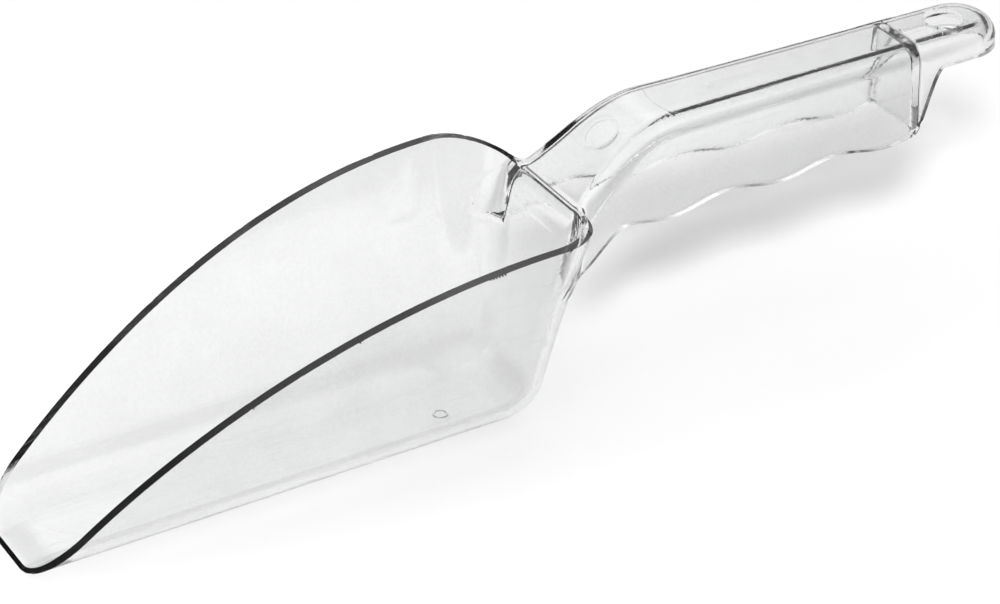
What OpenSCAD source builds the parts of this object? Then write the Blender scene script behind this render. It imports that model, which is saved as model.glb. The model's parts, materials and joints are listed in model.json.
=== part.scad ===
// Bar ice scoop: one clear moulding, drawn as its seven moulded zones, in millimetres.
// +X runs from the bowl's nose to the handle's end and +Z is up. The origin is on the
// table, under the middle of the length and of the width.

/* [Bowl] */
// Overall length, from the nose to the end of the handle
overall_l = 254; // [250:1:260]
// Length of the floor, from the nose to the heel of the back wall
floor_l = 125; // [122:1:128]
// Wall thickness
wall_t = 2.2; // [1.8:0.1:2.4]
// Half width that the side walls would have at floor level
floor_half_w = 16.4; // [15.5:0.1:17.5]
// Outward slope of the side walls
side_slope = 0.182; // [0.16:0.001:0.2]
// Outward curl of the side walls, per millimetre
side_curl = 0.0013; // [0.0005:0.0001:0.0018]
// Outward slope of the back wall
back_slope = 0.176; // [0.15:0.001:0.2]
// Outer radius between the floor and the walls
floor_r = 10.2; // [9.4:0.1:10.8]
// Outer plan radius of the rear corners at floor level
corner_r = 10.9; // [10.9:0.1:11.5]
// Growth of the rear corners' radius with height
corner_growth = 0.08; // [0.05:0.01:0.12]

/* [Rim] */
// Height of the rim at its crest
rim_h = 52.7; // [52:0.1:54]
// Distance of the crest from the nose
crest_l = 120; // [118:1:122]
// Exponent of the rim's arc: 1 is a parabola, smaller is fuller
rim_fullness = 0.926; // [0.9:0.001:1]
// Height of the bar, the top of the back wall
bar_z = 50.3; // [49.8:0.1:50.8]

/* [Handle] */
// Height of the grip's top where the neck ends
grip_h = 64.5; // [63:0.1:66]
// Fall of the grip's top towards its end
grip_fall = 0.01; // [0:0.001:0.015]
// Slope of the neck's ramp
neck_slope = 0.75; // [0.7:0.01:0.85]
// Half width of the grip at the hanging tab
grip_half_w = 9.6; // [9.2:0.1:10]
// Widening of the grip towards the bowl
grip_taper = 0.01; // [0.005:0.001:0.012]
// Extra half width of the neck where it leaves the bowl
neck_flare = 5; // [4.5:0.1:5.5]
// Distance in which that flare fades
neck_fade = 11; // [9:0.5:12]
// Outer radius of the grip's long top edges
edge_r = 4.5; // [4:0.1:5]
// Outward draft of the flanges
draft = 0.05; // [0.03:0.005:0.06]

/* [Finger edge] */
// Mean height of the flanges' lower edge
edge_z = 41.45; // [40.5:0.05:42.5]
// Height of a finger bump above and below the mean
bump_h = 1.05; // [0.6:0.05:1.4]
// Pitch of the finger bumps
bump_pitch = 29.7; // [28:0.1:31]
// First low point, from the middle of the length
first_bump_x = 32.4; // [30:0.1:34]
// Height at which the flanges meet the back wall
heel_z = 36; // [35:0.5:38]

/* [Hanging tab] */
// Start of the tab, from the middle of the length
tab_x = 106.5; // [106:0.1:107]
// Height of the bottom of the tab's skirt
skirt_z = 56.6; // [56:0.1:57.5]
// Place of the bulkhead that closes the grip
bulkhead_x = 100.2; // [99.5:0.1:100.5]
// Thickness of the bulkhead
bulkhead_t = 2; // [1.6:0.1:2.2]
// Height of the bulkhead's lower edge
bulkhead_z = 42.6; // [42:0.1:44]
// Radius of the hanging hole
hole_r = 4.8; // [4:0.1:5]
// Centre of the hanging hole, from the middle of the length
hole_x = 113.4; // [113:0.1:114]

/* [Hidden] */
$fn = 64;
nose_x = -overall_l / 2;
end_x = overall_l / 2;
heel_x = nose_x + floor_l;
crest_x = nose_x + crest_l;
// Places on the far side of a face, for cutters and for solids that are trimmed
spare = 8;
basin_top_z = rim_h + spare;
// Outer edge of the bar, and the rim's fall towards it per millimetre squared
bar_x = heel_x + back_slope * bar_z;
rear_fall = (rim_h - bar_z) / pow(bar_x - crest_x, 2);
// Angle between the points of a corner arc
arc_step = 15;
// Smallest plan radius of the bowl's corners, at the floor
least_r = 0.4;
// How round the bend between the neck's ramp and the grip is
bend = 4;
// Where the flanges' lower edge leaves the back wall
flange_x = heel_x + back_slope * heel_z;
// Where the neck ends and the grip begins
grip_x = 28;
// Where the lower edge has come down from the heel to the finger bumps
finger_x = 21;
// Start of the lower edge's rise to the tab
rise_x = 99.2;
clear = [0.88, 0.91, 0.91, 0.45];

// Half width, back face and corner radius of the bowl's outside at height z
function side_w(z) = floor_half_w + side_slope * z + side_curl * z * z;
function back_x(z) = heel_x + back_slope * z;
function plan_r(z) = corner_r + corner_growth * z;

// How far a floor fillet of radius r holds the outline in at height h above the floor
function hold_in(h, r) = h >= r ? 0 : r - sqrt(r * r - (r - h) * (r - h));

// Plan outline of a basin at height z: open past the nose, round at the rear
function outline(z, inset) =
    let (w = side_w(z) - inset, b = back_x(z) - inset, r = max(plan_r(z) - inset, least_r))
    concat(
        [[nose_x - spare, -w, z]],
        [for (a = [-90:arc_step:0]) [b - r + r * cos(a), r - w + r * sin(a), z]],
        [for (a = [0:arc_step:90]) [b - r + r * cos(a), w - r + r * sin(a), z]],
        [[nose_x - spare, w, z]]
    );

// Outlines of a basin whose floor is at z0, with fillet radius r, inset from the outside
function basin(z0, r, inset) = concat(
    [for (a = [0:arc_step:75]) outline(z0 + r - r * cos(a), inset + hold_in(r - r * cos(a), r))],
    [for (i = [0:5]) outline(z0 + r + (basin_top_z - z0 - r) * i / 5, inset)]
);

// Height of the rim's arc, as points from the nose to the crest, and then down behind it
function rim_arc() = [for (a = [0:3:87]) [
    crest_x - crest_l * cos(a),
    rim_h * pow(sin(a), 2 * rim_fullness)
]];
function rim_rear() = [for (i = [0:6]) [
    crest_x + 3 * i,
    rim_h - rear_fall * pow(3 * i, 2)
]];

// Smooth step from 0 to 1 while x goes from a to b
function step_up(x, a, b) = let (u = min(max((x - a) / (b - a), 0), 1)) u * u * (3 - 2 * u);

// Lesser of two heights, rounded over a height k
function soft_min(p, q, k) = let (h = max(k - abs(p - q), 0) / k) min(p, q) - h * h * k / 4;

// Top, thickness and half width of the handle, and its lower edge, at x
function top_z(x) = soft_min(
    bar_z + neck_slope * (x - bar_x),
    grip_h - grip_fall * (x - grip_x),
    bend
);
function web_t(x) = wall_t * sqrt(1 + pow(top_z(x + 0.5) - top_z(x - 0.5), 2));
function grip_w(x) = grip_half_w + grip_taper * (tab_x - x) + neck_flare * exp((bar_x - x) / neck_fade);
function finger_z(x) = edge_z - bump_h * cos(360 * (x - first_bump_x) / bump_pitch);
function lower_z(x) =
    x < finger_x ? heel_z + (finger_z(x) - heel_z) * step_up(x, flange_x, finger_x)
    : edge_rise(x, x < rise_x ? finger_z(x) : finger_z(rise_x));
function edge_rise(x, z) = z + (skirt_z - z) * step_up(x, rise_x, tab_x);
function flange_draft(x) = draft * step_up(x, flange_x, grip_x);

// Stations along the handle: closer together where the shape turns quickly
neck_stations = [for (i = [0:14]) i * grip_x / 14];
grip_stations = [for (i = [0:24]) grip_x + (rise_x - grip_x) * i / 24];
rise_stations = [for (i = [1:7]) rise_x + (tab_x - rise_x) * i / 7];
flange_stations = concat(neck_stations, [for (i = [1:24]) grip_stations[i]], rise_stations);

// Edge of the handle, in section: its outer side up from the lower edge and over the round
// top edge, and its inner side back down again
function outer_side(w, z, low, out) =
    let (r = edge_r)
    concat([[w + out, low]], [for (a = [0:arc_step:90]) [w - r + r * cos(a), z - r + r * sin(a)]]);
function inner_side(w, z, t, low, out) =
    let (y = w - edge_r, r = edge_r - wall_t)
    concat([for (a = [90:-arc_step:0]) [y + r * cos(a), z - t - r + r * sin(a)]], [[w + out - wall_t, low]]);
function flange_out(x, low) = flange_draft(x) * (top_z(x) - edge_r - low);
function flange_ring(x) =
    let (w = grip_w(x), z = top_z(x), low = lower_z(x), out = flange_out(x, low))
    [for (p = concat(outer_side(w, z, low, out), inner_side(w, z, web_t(x), low, out))) [x, p[0], p[1]]];
function web_ring(x) =
    let (w = grip_w(x) - edge_r, z = top_z(x), t = web_t(x))
    [[x, -w, z - t], [x, w, z - t], [x, w, z], [x, -w, z]];

// Solid through a list of rings that all have the same number of points
module loft(rings) {
    n = len(rings[0]);
    last = (len(rings) - 1) * n;
    points = [for (ring = rings, p = ring) p];
    sides = [for (i = [0:len(rings) - 2], j = [0:n - 1], half = [0, 1])
        let (a = i * n + j, b = i * n + (j + 1) % n)
        half == 0 ? [a, a + n, b + n] : [a, b + n, b]];
    first_cap = [for (j = [0:n - 1]) j];
    last_cap = [for (j = [n - 1:-1:0]) last + j];
    polyhedron(points = points, faces = concat([first_cap], sides, [last_cap]), convexity = 6);
}

// The bowl's outer form, taller than its rim
module bowl_form() {
    loft(basin(0, floor_r, 0));
}

// Everything above the rim
module above_rim() {
    crest_side = concat(rim_arc(), rim_rear());
    rear_x = crest_x + 18;
    profile = concat(
        [[nose_x - 2 * spare, -spare], [nose_x, -spare]],
        crest_side,
        [[rear_x, basin_top_z + spare], [nose_x - 2 * spare, basin_top_z + spare]]
    );
    translate([0, 2 * floor_half_w + spare, 0])
        rotate([90, 0, 0])
            linear_extrude(height = 4 * floor_half_w + 2 * spare)
                polygon(profile);
}

// The tray: floor, two flared sides and a leaning back, cut off along the rim's arc
module bowl() {
    color(clear)
        difference() {
            bowl_form();
            loft(basin(wall_t, floor_r - wall_t, wall_t));
            above_rim();
        }
}

// The ramp that climbs from the back wall's top to the grip
module neck_web() {
    color(clear)
        difference() {
            loft([for (x = neck_stations) web_ring(x)]);
            bowl_form();
        }
}

// The flat top of the grip
module grip_web() {
    color(clear)
        loft([for (x = concat(grip_stations, rise_stations)) web_ring(x)]);
}

// One side of the channel: round top edge and scalloped lower edge
module flange_form() {
    loft([for (x = flange_stations) flange_ring(x)]);
}

module left_flange() {
    color(clear)
        difference() {
            flange_form();
            bowl_form();
        }
}

module right_flange() {
    color(clear)
        difference() {
            mirror([0, 1, 0])
                flange_form();
            bowl_form();
        }
}

// Outline through points on the +Y side and the same points on the -Y side, in reverse
function mirrored(side) = [for (i = [len(side) - 1:-1:0]) [-side[i][0], side[i][1]]];

// Right half of the bulkhead's outline, which runs to the middle of the walls around it
function bulkhead_side() =
    let (w = grip_w(bulkhead_x), z = top_z(bulkhead_x), mid = wall_t / 2)
    [
        [w + flange_out(bulkhead_x, bulkhead_z) - mid, bulkhead_z],
        [w - mid, z - edge_r],
        [w - edge_r, z - mid]
    ];

// The plate that closes the channel at its outer end
module end_bulkhead() {
    side = bulkhead_side();
    color(clear)
        difference() {
            translate([bulkhead_x - bulkhead_t / 2, 0, 0])
                rotate([90, 0, 90])
                    linear_extrude(height = bulkhead_t)
                        polygon(concat(side, mirrored(side)));
            flange_form();
            mirror([0, 1, 0])
                flange_form();
            grip_web();
        }
}

// The round end with the hole to hang the scoop by
module hang_tab() {
    w = grip_w(tab_x);
    z = top_z(tab_x);
    out = flange_out(tab_x, skirt_z);
    round_x = end_x - w - out;
    outer = outer_side(w, z, skirt_z, out);
    inner = inner_side(w, z, wall_t, skirt_z, out);
    color(clear)
        difference() {
            union() {
                translate([tab_x, 0, 0])
                    rotate([90, 0, 90])
                        linear_extrude(height = round_x - tab_x)
                            polygon(concat(outer, mirrored(outer), mirrored(inner), inner));
                translate([round_x, 0, 0])
                    rotate([0, 0, -90])
                        rotate_extrude(angle = 180)
                            polygon(concat(outer, [[0, z], [0, z - wall_t]], inner));
            }
            translate([hole_x, 0, z - 2 * wall_t])
                cylinder(h = 3 * wall_t, r = hole_r);
        }
}

bowl();
neck_web();
grip_web();
left_flange();
right_flange();
end_bulkhead();
hang_tab();
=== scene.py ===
import json
import math

import bpy
import numpy as np
from mathutils import Matrix, Vector


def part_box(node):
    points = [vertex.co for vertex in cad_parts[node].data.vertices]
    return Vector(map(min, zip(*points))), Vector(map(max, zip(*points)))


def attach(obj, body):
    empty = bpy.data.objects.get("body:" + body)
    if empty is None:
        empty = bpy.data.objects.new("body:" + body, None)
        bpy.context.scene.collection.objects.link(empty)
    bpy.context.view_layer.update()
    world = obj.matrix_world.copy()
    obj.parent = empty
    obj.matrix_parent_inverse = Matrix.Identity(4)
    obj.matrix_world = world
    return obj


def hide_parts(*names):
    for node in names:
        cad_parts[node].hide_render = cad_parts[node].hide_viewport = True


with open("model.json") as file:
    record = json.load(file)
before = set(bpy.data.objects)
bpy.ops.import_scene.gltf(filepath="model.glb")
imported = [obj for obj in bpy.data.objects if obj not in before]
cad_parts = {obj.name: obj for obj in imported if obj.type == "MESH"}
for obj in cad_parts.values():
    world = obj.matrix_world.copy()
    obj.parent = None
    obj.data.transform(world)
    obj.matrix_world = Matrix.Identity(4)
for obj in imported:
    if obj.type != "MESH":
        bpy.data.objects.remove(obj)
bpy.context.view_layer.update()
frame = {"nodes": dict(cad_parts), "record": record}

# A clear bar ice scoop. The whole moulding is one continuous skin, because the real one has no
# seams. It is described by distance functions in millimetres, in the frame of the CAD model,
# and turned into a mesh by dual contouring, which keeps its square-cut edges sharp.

MM = 0.001

# ---------------------------------------------------------------- sizes, from the frame

def node_box(name):
    """Lowest and highest corner of a CAD node, in millimetres."""
    low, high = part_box(name)
    return np.array(low) / MM, np.array(high) / MM


BOWL_LOW, BOWL_HIGH = node_box("bowl")
TAB_LOW, TAB_HIGH = node_box("hang_tab")
PLATE_LOW, PLATE_HIGH = node_box("end_bulkhead")
HOLE = next(m for m in frame["record"]["mounts"] if m["name"] == "hang_hole")

# The bowl
WALL = 2.2                      # wall thickness
NOSE_X = BOWL_LOW[0]            # tip of the nose
HEEL_X = NOSE_X + 125.0         # back wall at floor level
CREST_X = NOSE_X + 120.0        # highest point of the rim
RIM_Z = BOWL_HIGH[2]            # its height
RIM_FULLNESS = 0.926            # exponent of the rim's arc: less than 1 is fuller than a parabola
STEEPEST_RIM = 2.0              # cap on the rim's slope, which grows without limit at the tip
BAR_Z = 50.3                    # top of the back wall
BACK_SLOPE = 0.176              # lean of the back wall
BAR_X = HEEL_X + BACK_SLOPE * BAR_Z
FLOOR_HALF_W = 16.4             # half width at floor level, if there were no fillet
SIDE_SLOPE = 0.182              # flare of the sides at floor level
SIDE_CURL = 0.0013              # how the flare grows with height
FLOOR_R = 10.2                  # outer fillet of the floor
CORNER_R = 10.9                 # outer radius of the upright rear corners, at the floor
CORNER_GROWTH = 0.08            # growth of that radius with height
LIP_LENGTH = 9.0                # stretch of the nose over which the floor thins
LIP_THINNING = 0.6              # share of the floor's thickness lost at the very tip

# The handle
GRIP_X = 28.0                   # from here on the grip's sides have their full lean
GRIP_Z = 64.5                   # top of the grip there, before the bend is rounded
GRIP_FALL = 0.01                # slope of the grip's top
NECK_SLOPE = 0.75               # slope of the ramp from the bar to the grip
BEND = 6.5                      # rounding between ramp and grip
GRIP_HALF_W = 9.6               # half width of the grip at the tab
GRIP_TAPER = 0.01               # slope of its sides: the grip is wider towards the bowl
NECK_FLARE = 5.0                # extra half width at the bar
NECK_FADE = 11.0                # length over which that fades
EDGE_R = 4.5                    # outer radius of the grip's long edges
DRAFT = 0.05                    # lean of the flanges
FLANGE_X = 4.3                  # the flanges' lower edge leaves the back wall here
HEEL_Z = 36.0                   # and at this height
FINGER_X = 21.0                 # from here on the edge follows the finger bumps
FINGER_Z = 41.45                # mean height of the bumps
BUMP_H = 1.05                   # their height above and below the mean
BUMP_PITCH = 29.7
FIRST_BUMP_X = 32.4             # lowest point of the first bump
RISE_X, RISE_END_X = 99.2, 107.6    # the edge climbs to the tab between these
TAB_X = TAB_LOW[0]
SKIRT_Z = TAB_LOW[2]            # lower edge of the tab
END_X = TAB_HIGH[0]             # end of the handle
HOLE_X = HOLE["pos_m"][0] / MM
HOLE_R = HOLE["dims"]["r_mm"]
PLATE_X = (PLATE_LOW[0] + PLATE_HIGH[0]) / 2
PLATE_HALF_T = 1.0              # half thickness of the cross plate
PLATE_Z = PLATE_LOW[2]
PLATE_FILLET = 1.0              # blend between the cross plate and the handle
BAR_FILLET = 2.0                # blend between the handle and the bowl


# ---------------------------------------------------------------- the shape

def step_up(x, a, b):
    """Smooth step from 0 to 1 while x goes from a to b."""
    u = np.clip((x - a) / (b - a), 0, 1)
    return u * u * (3 - 2 * u)


def soft_min(p, q, k):
    """Lesser of two, rounded over k: a fillet where two solids meet."""
    h = np.maximum(k - np.abs(p - q), 0) / k
    return np.minimum(p, q) - h * h * k / 4


def round_both(p, q, r):
    """Distance to the part inside both p and q, with its corner rounded to radius r."""
    outside = np.hypot(np.maximum(p + r, 0), np.maximum(q + r, 0))
    return outside + np.minimum(np.maximum(p, q) + r, 0) - r


def side_w(z):
    """Half width of the bowl at height z."""
    return FLOOR_HALF_W + SIDE_SLOPE * z + SIDE_CURL * z * z


def rim_z(x):
    """Height of the rim at x: an arc from the nose to the crest, then a gentle fall to the bar."""
    u = (CREST_X - x) / (CREST_X - NOSE_X)
    v = 1 - np.maximum(u, 0) ** 2
    arc = RIM_Z * np.sign(v) * np.abs(v) ** RIM_FULLNESS
    fall = (RIM_Z - BAR_Z) / (BAR_X - CREST_X) ** 2
    return np.where(x < CREST_X, arc, RIM_Z - fall * (x - CREST_X) ** 2)


def top_z(x):
    """Top of the handle: the ramp, then the grip."""
    return soft_min(BAR_Z + NECK_SLOPE * (x - BAR_X), GRIP_Z - GRIP_FALL * (x - GRIP_X), BEND)


def grip_w(x):
    """Half width of the handle."""
    flare = NECK_FLARE * np.exp(-(np.maximum(x, 0) - BAR_X) / NECK_FADE)
    return GRIP_HALF_W + GRIP_TAPER * (TAB_X - x) + flare


def lower_z(x):
    """Lower edge of the flanges: out of the wall, along the finger bumps, up to the tab."""
    fingers = FINGER_Z - BUMP_H * np.cos(2 * np.pi * (x - FIRST_BUMP_X) / BUMP_PITCH)
    front = HEEL_Z + (fingers - HEEL_Z) * step_up(x, FLANGE_X, FINGER_X)
    edge = np.where(x < FINGER_X, front, fingers)
    return edge + (SKIRT_Z - edge) * step_up(x, RISE_X, RISE_END_X)


def slope(f, x, e=0.05):
    """Slope of f at x."""
    return (f(x + e) - f(x - e)) / (2 * e)


def basin(x, y, z, inset):
    """The bowl's uncut solid, set in from the outside: flared sides, leaning back, round corners."""
    side = (np.abs(y) - side_w(z)) / np.sqrt(1 + (SIDE_SLOPE + 2 * SIDE_CURL * z) ** 2)
    back = (x - HEEL_X - BACK_SLOPE * z) / math.hypot(1, BACK_SLOPE)
    corner_r = CORNER_R - inset + CORNER_GROWTH * np.maximum(z, 0)
    walls = round_both(side + inset, back + inset, corner_r)
    floor = inset * (1 - LIP_THINNING * (1 - step_up(x, NOSE_X, NOSE_X + LIP_LENGTH)))
    return round_both(walls, floor - z, FLOOR_R - inset)


def scoop(x, y, z):
    """Distance to the whole moulding, negative inside the plastic."""
    outside = basin(x, y, z, 0)
    inside = basin(x, y, z, WALL)
    rim = (z - rim_z(x)) / np.sqrt(1 + np.minimum(slope(rim_z, x), STEEPEST_RIM) ** 2)
    bowl = np.maximum(np.maximum(outside, -inside), rim)

    top = top_z(x)
    drafted = grip_w(x) + DRAFT * step_up(x, FLANGE_X, GRIP_X) * (top - EDGE_R - z)
    round_x = END_X - grip_w(TAB_X) - DRAFT * (GRIP_Z - EDGE_R - SKIRT_Z)
    straight = (np.abs(y) - drafted) / np.sqrt(1 + slope(grip_w, x) ** 2)
    around = np.hypot(np.maximum(x - round_x, 0), y) - drafted
    side = np.where(x > round_x, around, straight)
    over = (z - top) / np.sqrt(1 + slope(top_z, x) ** 2)
    skin = round_both(side, over, EDGE_R)
    below = (lower_z(x) - z) / np.sqrt(1 + slope(lower_z, x) ** 2)
    handle = np.maximum(np.maximum(skin, -skin - WALL), below)
    plate = np.maximum(np.maximum(np.abs(x - PLATE_X) - PLATE_HALF_T, skin + WALL / 2), PLATE_Z - z)
    handle = soft_min(handle, plate, PLATE_FILLET)
    handle = np.maximum(handle, HOLE_R - np.hypot(x - HOLE_X, y))
    # The handle stops inside the bowl's walls, and never reaches in front of x = 0
    handle = np.maximum(np.maximum(handle, -outside - WALL / 2), -x)
    return soft_min(bowl, handle, BAR_FILLET)


def gradient(f, p, e=0.01):
    """Unit gradients of f at the points p."""
    g = np.empty_like(p)
    for a in range(3):
        d = np.zeros(3)
        d[a] = e
        g[:, a] = f(*(p + d).T) - f(*(p - d).T)
    return g / np.maximum(np.linalg.norm(g, axis=1, keepdims=True), 1e-12)


# ---------------------------------------------------------------- dual contouring

PITCH = 0.72            # of the grid, in millimetres
HALF_ROWS = 42.5        # grid cells from the middle plane to each side
MARGIN = 2.0            # of the grid past the scoop's other ends
FLATNESS = 0.08         # an edge or corner shows as an eigenvalue above this share of the largest
SEARCH_STEPS = 4        # guesses of where a grid edge crosses the surface
KEEP_OFF = 0.02         # share of the searched stretch that a guess keeps off its ends
PULL_STEPS = 2          # moves of a smooth point onto the surface
INWARD = 0.3            # normals are taken this share of the way from a corner to its face's middle


def crossings(f, start, a, h, f0, f1):
    """Where f changes sign on the grid edges that begin at start and run along axis a."""
    t0, t1 = np.zeros(len(start)), np.ones(len(start))
    for _ in range(SEARCH_STEPS):
        t = t0 + (t1 - t0) * np.clip(f0 / (f0 - f1), KEEP_OFF, 1 - KEEP_OFF)
        p = start.copy()
        p[:, a] += t * h
        ft = f(*p.T)
        same = (ft < 0) == (f0 < 0)
        t0, f0 = np.where(same, t, t0), np.where(same, ft, f0)
        t1, f1 = np.where(same, t1, t), np.where(same, f1, ft)
    p[:, a] = start[:, a] + (t0 + (t1 - t0) * f0 / (f0 - f1)) * h
    return p


def place_vertices(f, cells, p, n, origin, shape, h):
    """Number of each crossed cell, and the point in it that fits its crossings and normals best."""
    ids, where = np.unique(cells, return_inverse=True)
    count = np.bincount(where)

    def total(values):
        return np.bincount(where, values)

    mean = np.stack([total(p[:, a]) / count for a in range(3)], 1)
    ata = np.stack([np.stack([total(n[:, a] * n[:, b]) for a in range(3)], 1) for b in range(3)], 2)
    off = np.sum(n * (p - mean[where]), 1)
    atb = np.stack([total(n[:, a] * off) for a in range(3)], 1)
    value, vector = np.linalg.eigh(ata)
    keep = value > FLATNESS * value[:, 2:]
    inverse = np.where(keep, 1 / np.where(keep, value, 1), 0)
    shift = np.einsum("nij,nj,nkj,nk->ni", vector, inverse, vector, atb)
    corner = origin + np.stack(np.unravel_index(ids, shape), 1) * h
    verts = np.clip(mean + shift, corner, corner + h)
    smooth = value[:, 1] < FLATNESS * value[:, 2]
    for _ in range(PULL_STEPS):
        q = verts[smooth]
        verts[smooth] = q - gradient(f, q) * f(*q.T)[:, None]
    return ids, verts


def contour(f, low, high, h):
    """Points and quads of the surface f = 0 in the box, on a grid of pitch h."""
    axes = [np.arange(low[a], high[a] + h, h) for a in range(3)]
    shape = np.array([len(a) for a in axes])
    field = np.empty(shape)
    for i, x in enumerate(axes[0]):
        field[i] = f(np.full((shape[1], shape[2]), x), axes[1][:, None], axes[2][None, :])
    inside = field < 0
    stride = np.array([shape[1] * shape[2], shape[2], 1])
    origin = np.array([a[0] for a in axes])
    cells, points, normals, quads = [], [], [], []
    for a in range(3):
        b, c = (a + 1) % 3, (a + 2) % 3
        lower = [slice(None)] * 3
        upper = [slice(None)] * 3
        lower[a], upper[a] = slice(0, -1), slice(1, None)
        base = np.argwhere(inside[tuple(lower)] != inside[tuple(upper)])
        index = base @ stride
        f0 = field.reshape(-1)[index]
        f1 = field.reshape(-1)[index + stride[a]]
        p = crossings(f, origin + base * h, a, h, f0, f1)
        ring = [index, index - stride[b], index - stride[b] - stride[c], index - stride[c]]
        starts_inside = inside.reshape(-1)[index]
        quad = np.stack(ring, 1)
        quad[~starts_inside] = quad[~starts_inside][:, ::-1]
        cells.append(np.concatenate(ring))
        points.append(np.tile(p, (4, 1)))
        normals.append(np.tile(gradient(f, p), (4, 1)))
        quads.append(quad)
    crossed = (np.concatenate(part) for part in (cells, points, normals))
    ids, verts = place_vertices(f, *crossed, origin, shape, h)
    return verts, np.searchsorted(ids, np.concatenate(quads))


def split(verts, quads):
    """Triangles of the quads, cut along the diagonal that lies nearer the surface."""
    a, b, c, d = (verts[quads[:, i]] for i in range(4))
    first = np.abs(scoop(*((a + c) / 2).T))
    second = np.abs(scoop(*((b + d) / 2).T))
    along = (first <= second)[:, None]
    one = np.where(along, quads[:, [0, 1, 2]], quads[:, [0, 1, 3]])
    two = np.where(along, quads[:, [0, 2, 3]], quads[:, [1, 2, 3]])
    return np.concatenate([one, two])


def shade_smooth(mesh, verts):
    """Normals from the shape itself, taken a little inside each face so that edges stay crisp."""
    corners = np.empty(len(mesh.loops), dtype=np.int64)
    mesh.loops.foreach_get("vertex_index", corners)
    spots = verts[corners]
    middle = np.repeat(spots.reshape(-1, 3, 3).mean(1), 3, axis=0)
    normals = gradient(scoop, spots + INWARD * (middle - spots))
    mesh.polygons.foreach_set("use_smooth", np.ones(len(mesh.polygons), dtype=bool))
    mesh.normals_split_custom_set(normals.tolist())


def build_scoop():
    low = np.array([NOSE_X - MARGIN, -PITCH * HALF_ROWS, -MARGIN])
    high = np.array([END_X + MARGIN, PITCH * HALF_ROWS, GRIP_Z + MARGIN])
    verts, quads = contour(scoop, low, high, PITCH)
    triangles = split(verts, quads)
    mesh = bpy.data.meshes.new("scoop_moulding")
    mesh.from_pydata((verts * MM).tolist(), [], triangles.tolist())
    mesh.validate()
    mesh.update()
    shade_smooth(mesh, verts)
    piece = bpy.data.objects.new("scoop_moulding", mesh)
    bpy.context.collection.objects.link(piece)
    return piece


# ---------------------------------------------------------------- materials

IOR = 1.585                         # of polycarbonate
# Share of light the plastic lets through, by zone, with painted light and shade in it: the floor is
# lightened towards the heel, the walls and the handle's end are darkened. It is matched to the photo,
# not measured.
NOSE_TINT_PAINTED_LIGHT, HEEL_TINT_PAINTED_LIGHT = 0.95, 1.0    # the bowl's floor, from end to end
WALL_TINT_PAINTED_SHADE = 0.9                     # the bowl's walls
GRIP_TINT_PAINTED_SHADE, TAB_TINT_PAINTED_SHADE = 0.97, 0.85    # the handle, from end to end
GREEN_CAST, BLUE_CAST = 1.004, 1.003    # against red
GRAIN_SHARE, CLOUD_SHARE = 0.6, 0.4     # of the mottling
MOTTLE_LOW, MOTTLE_HIGH = 0.35, 0.62    # the noise between these is spread over the whole range
DUST = 0.93                         # tint of the densest mottling
POLISH = 0.005                      # roughness, before clouds and scratches add to it
CLOUD_ROUGH, SCRATCH_ROUGH = 0.05, 0.12
SCRATCH_CUT = 0.66                  # noise above this is a scratch
SHADOW_TINT = 0.94                  # what a face of the handle lets through to its shadow, but for gloss

# Marks of the mould: place, radius, half width of the line and height of the relief
GATE = ((-23.2, -2.0, WALL), 1.5, 0.45, 0.2)        # on the floor, where the plastic was let in
EJECTOR = ((20.0, 0.2, 60.2), 4.6, 0.5, 0.06)       # on the neck, from a pin of the mould
PANEL = ((51.5, -0.2, 64.2), 18.0, 0.45, 0.02)      # arc where the grip's flat top begins
PANEL_HALF_W = 6.5
WAVE_H = 0.06                       # relief of the slow waves in the surface
GRAIN_H, GRIP_GRAIN_H = 0.004, 0.01    # of the fine grain, on the bowl and on the handle
SCRATCH_DEPTH = 0.004


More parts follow.
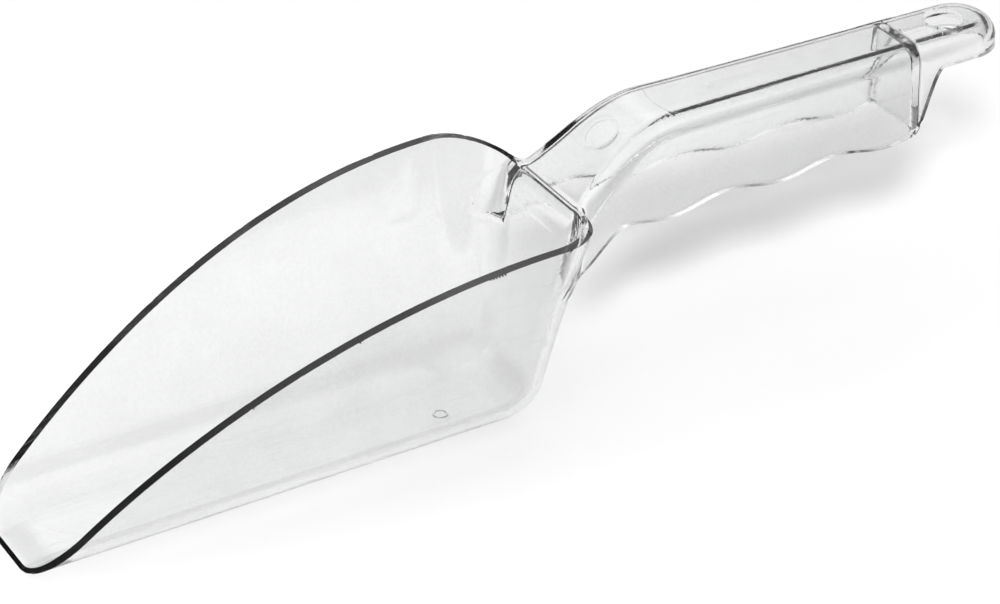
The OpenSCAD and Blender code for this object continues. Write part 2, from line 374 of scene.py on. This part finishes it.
class Nodes:
    """Short ways to add nodes to one material, whose patterns sit in object space."""

    def __init__(self, tree):
        self.nodes, self.links = tree.nodes, tree.links
        self.place = self.nodes.new("ShaderNodeTexCoord").outputs["Object"]
        axes = self.nodes.new("ShaderNodeSeparateXYZ")
        self.links.new(self.place, axes.inputs[0])
        self.x, self.y, self.z = axes.outputs

    def math(self, operation, *values):
        node = self.nodes.new("ShaderNodeMath")
        node.operation = operation
        for socket, value in zip(node.inputs, values):
            if isinstance(value, (int, float)):
                socket.default_value = value
            else:
                self.links.new(value, socket)
        return node.outputs[0]

    def add(self, first, second):
        return self.math("ADD", first, second)

    def times(self, first, second):
        return self.math("MULTIPLY", first, second)

    def map_range(self, value, low, high, at_low, at_high, kind="LINEAR"):
        node = self.nodes.new("ShaderNodeMapRange")
        node.interpolation_type = kind
        self.links.new(value, node.inputs["Value"])
        ends = {"From Min": low, "From Max": high, "To Min": at_low, "To Max": at_high}
        for name, number in ends.items():
            node.inputs[name].default_value = number
        return node.outputs["Result"]

    def blend(self, factor, first, second):
        """first where factor is 0, second where it is 1."""
        rest = self.math("SUBTRACT", 1, factor)
        return self.add(self.times(rest, first), self.times(factor, second))

    def noise(self, scale, detail, stretch=(1, 1, 1)):
        mapping = self.nodes.new("ShaderNodeMapping")
        mapping.inputs["Scale"].default_value = stretch
        self.links.new(self.place, mapping.inputs["Vector"])
        node = self.nodes.new("ShaderNodeTexNoise")
        node.inputs["Scale"].default_value = scale
        node.inputs["Detail"].default_value = detail
        self.links.new(mapping.outputs[0], node.inputs["Vector"])
        return node.outputs["Fac"]

    def ring(self, centre, radius, width, height):
        """Relief of a thin line at one distance from a point, 0 elsewhere."""
        offset = self.nodes.new("ShaderNodeVectorMath")
        offset.operation = "SUBTRACT"
        self.links.new(self.place, offset.inputs[0])
        offset.inputs[1].default_value = Vector(centre) * MM
        distance = self.nodes.new("ShaderNodeVectorMath")
        distance.operation = "LENGTH"
        self.links.new(offset.outputs[0], distance.inputs[0])
        off_line = self.math("SUBTRACT", distance.outputs["Value"], radius * MM)
        line = self.map_range(self.math("ABSOLUTE", off_line), 0, width * MM, 1, 0, "SMOOTHSTEP")
        return self.times(line, height)


def plastic_tint_painted_light_and_shade(kit, past_bar, grain, cloud):
    """Base colour: a tint for each zone of the moulding, mottled, with painted light on the floor
    and painted shade on the walls and towards the handle's end.
    """
    # Painted light and shade: the floor lighter towards the heel, the walls and the tab darker
    floor_tint_painted_light = kit.map_range(kit.x, NOSE_X * MM, HEEL_X * MM, NOSE_TINT_PAINTED_LIGHT, HEEL_TINT_PAINTED_LIGHT)
    handle_tint_painted_shade = kit.map_range(kit.x, BAR_X * MM, END_X * MM, GRIP_TINT_PAINTED_SHADE, TAB_TINT_PAINTED_SHADE)
    up_wall = kit.map_range(kit.z, WALL * MM, 2 * WALL * MM, 0, 1)
    bowl_tint_painted_light_and_shade = kit.blend(up_wall, floor_tint_painted_light, WALL_TINT_PAINTED_SHADE)
    tint_painted_light_and_shade = kit.blend(past_bar, bowl_tint_painted_light_and_shade, handle_tint_painted_shade)
    mottle = kit.add(kit.times(grain, GRAIN_SHARE), kit.times(cloud, CLOUD_SHARE))
    grey = kit.times(tint_painted_light_and_shade, kit.map_range(mottle, MOTTLE_LOW, MOTTLE_HIGH, DUST, 1))
    base = kit.nodes.new("ShaderNodeCombineColor")
    kit.links.new(grey, base.inputs["Red"])
    kit.links.new(kit.times(grey, GREEN_CAST), base.inputs["Green"])
    kit.links.new(kit.times(grey, BLUE_CAST), base.inputs["Blue"])
    return base.outputs[0]


def plastic_relief(kit, past_bar, grain, scratches):
    """Bumped normal: the mould's marks, slow waves, fine grain and scratches."""
    panel = kit.times(kit.ring(*PANEL), kit.math("LESS_THAN", kit.x, PANEL[0][0] * MM))
    near_middle = kit.math("LESS_THAN", kit.math("ABSOLUTE", kit.y), PANEL_HALF_W * MM)
    relief = kit.add(kit.ring(*GATE), kit.ring(*EJECTOR))
    relief = kit.add(relief, kit.times(panel, near_middle))
    relief = kit.add(relief, kit.times(kit.noise(scale=55, detail=1), WAVE_H))
    relief = kit.add(relief, kit.times(grain, kit.blend(past_bar, GRAIN_H, GRIP_GRAIN_H)))
    relief = kit.math("SUBTRACT", relief, kit.times(scratches, SCRATCH_DEPTH))
    bump = kit.nodes.new("ShaderNodeBump")
    bump.inputs["Strength"].default_value = 1
    bump.inputs["Distance"].default_value = MM
    kit.links.new(relief, bump.inputs["Height"])
    return bump.outputs[0]


def lamp_shade(kit, past_bar):
    """What lamps see: a loss at each face that grows over the neck, with none in front of x = 0."""
    gloss = kit.nodes.new("ShaderNodeFresnel")
    gloss.inputs["IOR"].default_value = IOR
    face = kit.map_range(kit.x, 0, 2 * BAR_X * MM, 1, SHADOW_TINT)
    through = kit.math("SUBTRACT", face, kit.times(gloss.outputs[0], past_bar))
    shade = kit.nodes.new("ShaderNodeBsdfTransparent")
    kit.links.new(through, shade.inputs["Color"])
    return shade.outputs[0]


def clear_plastic():
    """Clear moulded plastic. It refracts what is seen, and lamps shine straight through it."""
    material = bpy.data.materials.new("clear_polycarbonate")
    material.use_nodes = True
    kit = Nodes(material.node_tree)
    shader = kit.nodes["Principled BSDF"]
    shader.inputs["IOR"].default_value = IOR
    shader.inputs["Transmission Weight"].default_value = 1.0
    # 0 in front of x = 0, half at the bar, 1 on the handle
    past_bar = kit.map_range(kit.x, 0, 2 * BAR_X * MM, 0, 1)
    grain = kit.noise(scale=1400, detail=3)
    cloud = kit.noise(scale=70, detail=4)
    streaks = kit.noise(scale=900, detail=2, stretch=(0.05, 1, 0.6))
    scratches = kit.math("GREATER_THAN", streaks, SCRATCH_CUT)
    worn = kit.add(kit.times(cloud, CLOUD_ROUGH), kit.times(scratches, SCRATCH_ROUGH))
    kit.links.new(plastic_tint_painted_light_and_shade(kit, past_bar, grain, cloud), shader.inputs["Base Color"])
    kit.links.new(kit.add(worn, POLISH), shader.inputs["Roughness"])
    kit.links.new(plastic_relief(kit, past_bar, grain, scratches), shader.inputs["Normal"])
    path = kit.nodes.new("ShaderNodeLightPath")
    mix = kit.nodes.new("ShaderNodeMixShader")
    kit.links.new(path.outputs["Is Shadow Ray"], mix.inputs[0])
    kit.links.new(shader.outputs[0], mix.inputs[1])
    kit.links.new(lamp_shade(kit, past_bar), mix.inputs[2])
    kit.links.new(mix.outputs[0], kit.nodes["Material Output"].inputs["Surface"])
    return material


# ---------------------------------------------------------------- stage, light, camera, in metres

FLOOR_SIZE = 6.0
FLOOR_Z = -0.0003       # just under the scoop, so the two faces don't fight
PALE = (0.93, 0.93, 0.93, 1)    # colour of the floor and of the background
DOME = [(0.0, 0.03), (0.22, 0.08), (0.5, 0.25), (0.72, 1.0)]    # z of the direction, brightness
# Soft boxes on the dome: direction, half angle in degrees, brightness
SOFT_BOXES = [((0.43, -0.53, 0.73), 14, 0.4), ((-0.9, 0.3, 0.45), 14, 1.5), ((0.43, 0.73, 0.5), 17, 0.6)]
BOX_FULL, BOX_END = 0.8, 1.3    # a box fades between these shares of its half angle


def key_lamp(place, aim, size, power):
    data = bpy.data.lights.new("key", "AREA")
    data.shape = "RECTANGLE"
    data.size = data.size_y = size
    data.energy = power
    lamp = bpy.data.objects.new("key", data)
    lamp.location = place
    lamp.rotation_euler = (Vector(aim) - Vector(place)).to_track_quat("-Z", "Y").to_euler()
    # Its light passes the plastic as shadow rays. Seen in gloss too, it turned the fillet at the
    # foot of the far wall white
    lamp.visible_glossy = False
    lamp.visible_transmission = False
    bpy.context.collection.objects.link(lamp)


def stage_plane():
    mesh = bpy.data.meshes.new("floor")
    s = FLOOR_SIZE / 2
    corners = [(x, y, FLOOR_Z) for x, y in ((-s, -s), (s, -s), (s, s), (-s, s))]
    mesh.from_pydata(corners, [], [(0, 1, 2, 3)])
    material = bpy.data.materials.new("pale_floor")
    material.use_nodes = True
    shader = material.node_tree.nodes["Principled BSDF"]
    shader.inputs["Base Color"].default_value = PALE
    shader.inputs["Roughness"].default_value = 0.9
    mesh.materials.append(material)
    floor = bpy.data.objects.new("floor", mesh)
    bpy.context.collection.objects.link(floor)


def photo_camera():
    """The photo's view, found by fitting the camera and the scoop's proportions together."""
    data = bpy.data.cameras.new("camera")
    data.sensor_width = 36
    data.lens = 126
    data.clip_start, data.clip_end = 0.05, 20
    right = Vector((0.86061, -0.50926, 0))
    up = Vector((0.27080, 0.45763, 0.84690))
    back = Vector((-0.43129, -0.72885, 0.53175))
    camera = bpy.data.objects.new("camera", data)
    place = Vector((-0.3424359, -0.5689317, 0.4390669))
    camera.matrix_world = Matrix.Translation(place) @ Matrix((right, up, back)).transposed().to_4x4()
    bpy.context.collection.objects.link(camera)
    bpy.context.scene.camera = camera


def soft_box(nodes, links, direction, aim, spread, power):
    """Brightness of a round soft box on the dome."""
    dot = nodes.new("ShaderNodeVectorMath")
    dot.operation = "DOT_PRODUCT"
    links.new(direction, dot.inputs[0])
    dot.inputs[1].default_value = Vector(aim).normalized()
    box = nodes.new("ShaderNodeMapRange")
    box.interpolation_type = "SMOOTHSTEP"
    links.new(dot.outputs["Value"], box.inputs["Value"])
    box.inputs["From Min"].default_value = math.cos(math.radians(spread * BOX_END))
    box.inputs["From Max"].default_value = math.cos(math.radians(spread * BOX_FULL))
    box.inputs["To Max"].default_value = power
    return box.outputs["Result"]


def world_light():
    """A studio as a dome: dark round the horizon, a large soft light overhead, soft boxes between."""
    world = bpy.data.worlds.new("studio")
    world.use_nodes = True
    nodes, links = world.node_tree.nodes, world.node_tree.links
    direction = nodes.new("ShaderNodeTexCoord").outputs["Generated"]
    height = nodes.new("ShaderNodeSeparateXYZ")
    links.new(direction, height.inputs[0])
    ramp = nodes.new("ShaderNodeValToRGB")
    links.new(height.outputs["Z"], ramp.inputs[0])
    ramp.color_ramp.interpolation = "EASE"
    # A new ramp has two stops already
    for i, (place, level) in enumerate(DOME):
        stop = ramp.color_ramp.elements[i] if i < 2 else ramp.color_ramp.elements.new(place)
        stop.position = place
        stop.color = (level, level, level, 1)
    total = ramp.outputs["Color"]
    for box in SOFT_BOXES:
        add = nodes.new("ShaderNodeVectorMath")
        add.operation = "ADD"
        links.new(total, add.inputs[0])
        links.new(soft_box(nodes, links, direction, *box), add.inputs[1])
        total = add.outputs[0]
    links.new(total, nodes["Background"].inputs["Color"])
    # Seen directly, the background is pale: the dome is there for light, gloss and refraction
    wall = nodes.new("ShaderNodeBackground")
    wall.inputs["Color"].default_value = PALE
    path = nodes.new("ShaderNodeLightPath")
    seen = nodes.new("ShaderNodeMixShader")
    links.new(path.outputs["Is Camera Ray"], seen.inputs[0])
    links.new(nodes["Background"].outputs[0], seen.inputs[1])
    links.new(wall.outputs[0], seen.inputs[2])
    links.new(seen.outputs[0], nodes["World Output"].inputs["Surface"])
    bpy.context.scene.world = world


photo_camera()
stage_plane()
world_light()
key_lamp(place=(-0.6, -0.95, 1.05), aim=(0, 0, 0.03), size=0.22, power=13.5)
scene = bpy.context.scene
scene.view_settings.view_transform = "Standard"
scene.cycles.max_bounces = 16
scene.cycles.transmission_bounces = 14

moulding = build_scoop()
moulding.data.materials.append(clear_plastic())
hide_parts(*frame["nodes"])
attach(moulding, "root")
